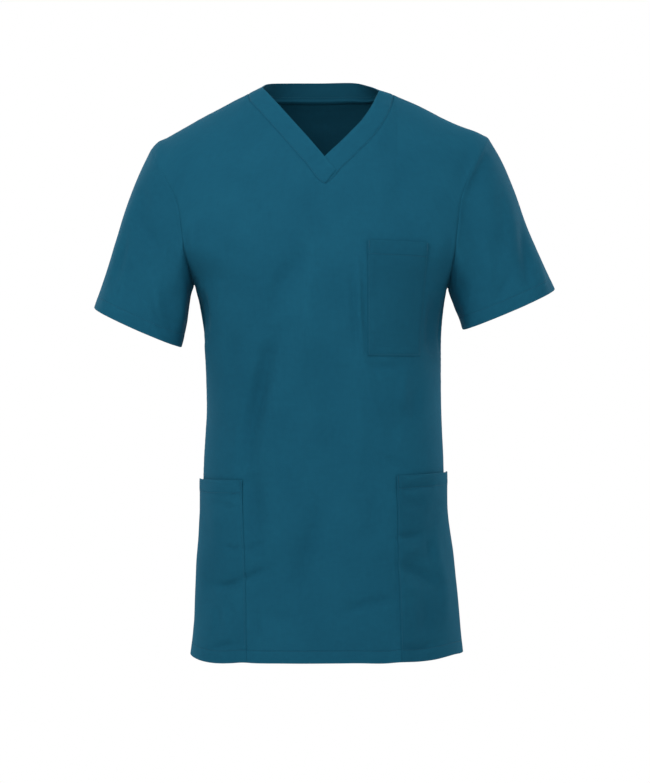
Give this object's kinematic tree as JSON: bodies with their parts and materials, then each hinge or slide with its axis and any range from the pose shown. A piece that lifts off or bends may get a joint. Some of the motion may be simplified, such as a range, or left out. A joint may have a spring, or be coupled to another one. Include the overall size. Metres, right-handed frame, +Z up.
{
  "type": "V-neck scrub top, filled out as worn",
  "caption": "Short-sleeved V-neck scrub top in teal cotton blend, hollow as if worn, with a banded neck, a chest patch pocket and lower patch pockets running to the side seams.",
  "frame": {"origin": "midway between the two shoulder points of the neck, level with the shoulder ridge there, where the top hangs on the wearer", "axes": "+Z up, towards the wearer's head; -Y to the front of the top; +X towards the wearer's left"},
  "size_m": [0.5998, 0.2413, 0.7528],
  "materials": {
    "teal_cloth": "matt fine twill"
  },
  "bodies": {
    "root": {"front_panel": "teal_cloth", "back_panel": "teal_cloth", "sleeve_right": "teal_cloth", "sleeve_left": "teal_cloth", "neckband_front_right": "teal_cloth", "neckband_front_left": "teal_cloth", "neckband_back": "teal_cloth", "chest_pocket": "teal_cloth", "lower_pocket_right": "teal_cloth", "lower_pocket_left": "teal_cloth"}
  },
  "joints": []
}
